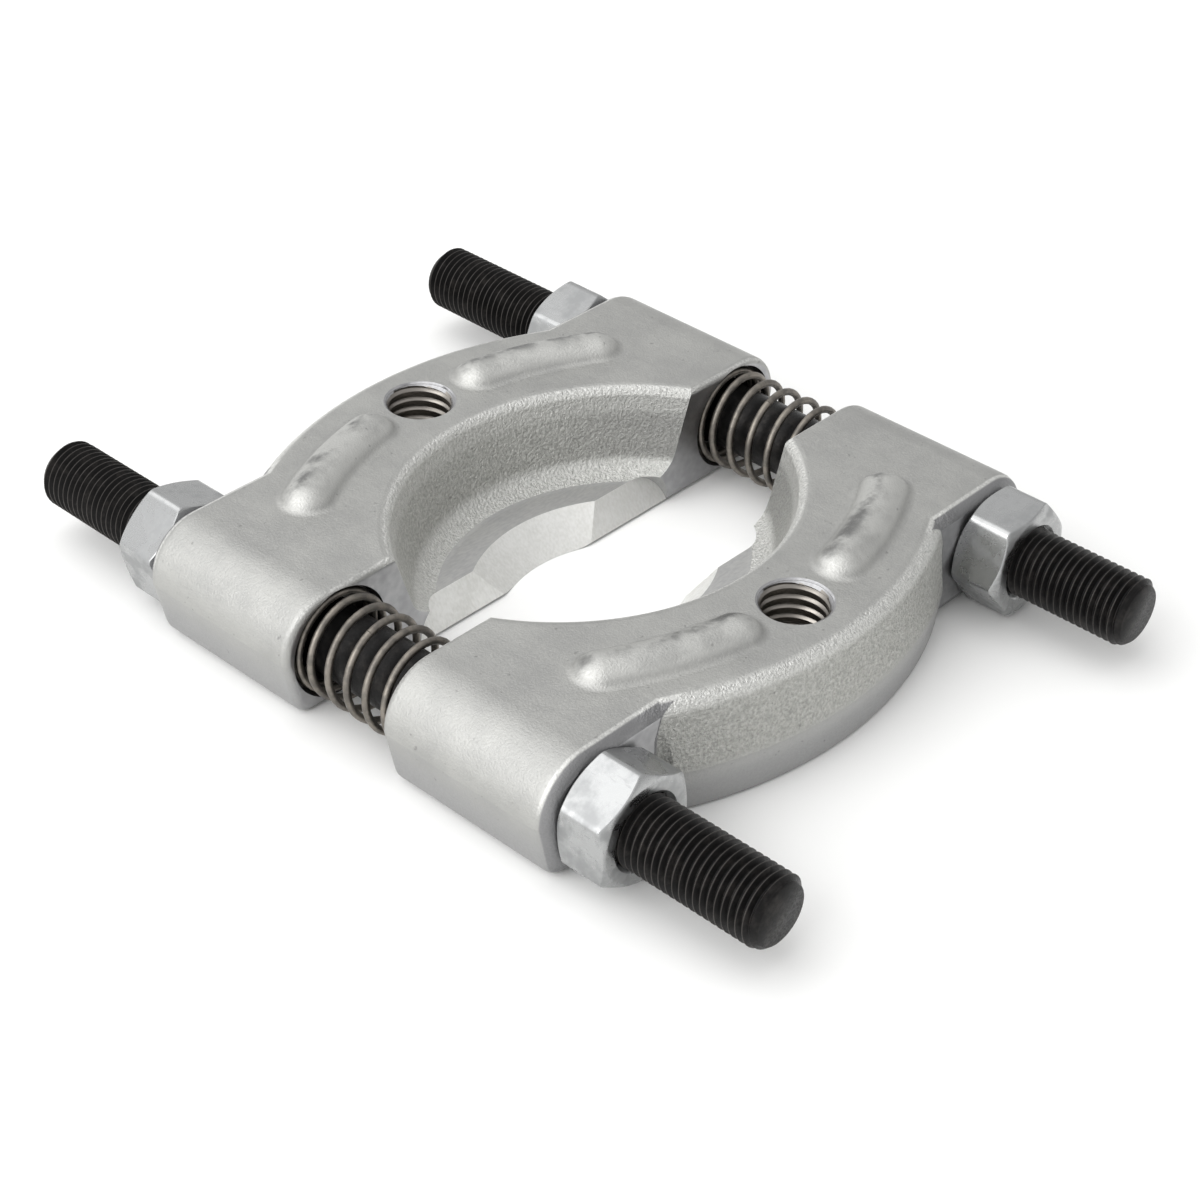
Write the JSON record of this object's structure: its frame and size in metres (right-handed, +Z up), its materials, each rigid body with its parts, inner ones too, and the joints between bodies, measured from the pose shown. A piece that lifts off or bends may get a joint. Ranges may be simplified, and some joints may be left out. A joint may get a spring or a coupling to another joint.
{
  "type": "fork crown race remover",
  "caption": "Split bearing puller plate: forged half-ring jaws with thin lips slide on threaded studs, pushed apart by coil springs and drawn together by hex nuts.",
  "frame": {"origin": "midway along the studs and midway between them, on the flat underside that the tool lies on", "axes": "+X along the parting line toward the right stud, +Y along the studs toward the rear jaw, +Z up out of the flat top"},
  "size_m": [0.1366, 0.19, 0.027],
  "materials": {
    "forged_jaw": "drop-forged steel, blasted and satin plated",
    "black_stud": "black oxide",
    "zinc_nut": "bright zinc plated",
    "spring_wire": "drawn spring wire, dull"
  },
  "bodies": {
    "studs": {"stud_left": "black_stud", "stud_right": "black_stud", "spring_left": "spring_wire", "spring_right": "spring_wire"},
    "jaw_rear": {"jaw_rear": "forged_jaw"},
    "jaw_front": {"jaw_front": "forged_jaw"},
    "nut_rear_left": {"nut_rear_left": "zinc_nut"},
    "nut_rear_right": {"nut_rear_right": "zinc_nut"},
    "nut_front_left": {"nut_front_left": "zinc_nut"},
    "nut_front_right": {"nut_front_right": "zinc_nut"}
  },
  "joints": [
    {"name": "jaw_rear_slide", "type": "slide", "parent": "studs", "child": "jaw_rear", "axis": [0, 1, 0], "range_m": [-0.009, 0.02885], "deforming": ["spring_left", "spring_right"]},
    {"name": "nut_rear_left_turn", "type": "hinge", "parent": "jaw_rear", "child": "nut_rear_left", "pos_m": [-0.055, 0.0546, 0.012], "axis": [0, 1, 0], "range_deg": [-2161, 6925]},
    {"name": "nut_rear_right_turn", "type": "hinge", "parent": "jaw_rear", "child": "nut_rear_right", "pos_m": [0.055, 0.0546, 0.012], "axis": [0, 1, 0], "range_deg": [-2161, 6925]},
    {"name": "jaw_front_slide", "type": "slide", "parent": "studs", "child": "jaw_front", "axis": [0, -1, 0], "range_m": [-0.009, 0.02305], "deforming": ["spring_left", "spring_right"]},
    {"name": "nut_front_left_turn", "type": "hinge", "parent": "jaw_front", "child": "nut_front_left", "pos_m": [-0.055, -0.0604, 0.012], "axis": [0, -1, 0], "range_deg": [-2161, 5533]},
    {"name": "nut_front_right_turn", "type": "hinge", "parent": "jaw_front", "child": "nut_front_right", "pos_m": [0.055, -0.0604, 0.012], "axis": [0, -1, 0], "range_deg": [-2161, 5533]}
  ],
  "couplings": [
    {"joint": "nut_rear_left_turn", "follows": "jaw_rear_slide", "rad_per_m": 4188.8},
    {"joint": "nut_rear_right_turn", "follows": "jaw_rear_slide", "rad_per_m": 4188.8},
    {"joint": "nut_front_left_turn", "follows": "jaw_front_slide", "rad_per_m": 4188.8},
    {"joint": "nut_front_right_turn", "follows": "jaw_front_slide", "rad_per_m": 4188.8}
  ]
}
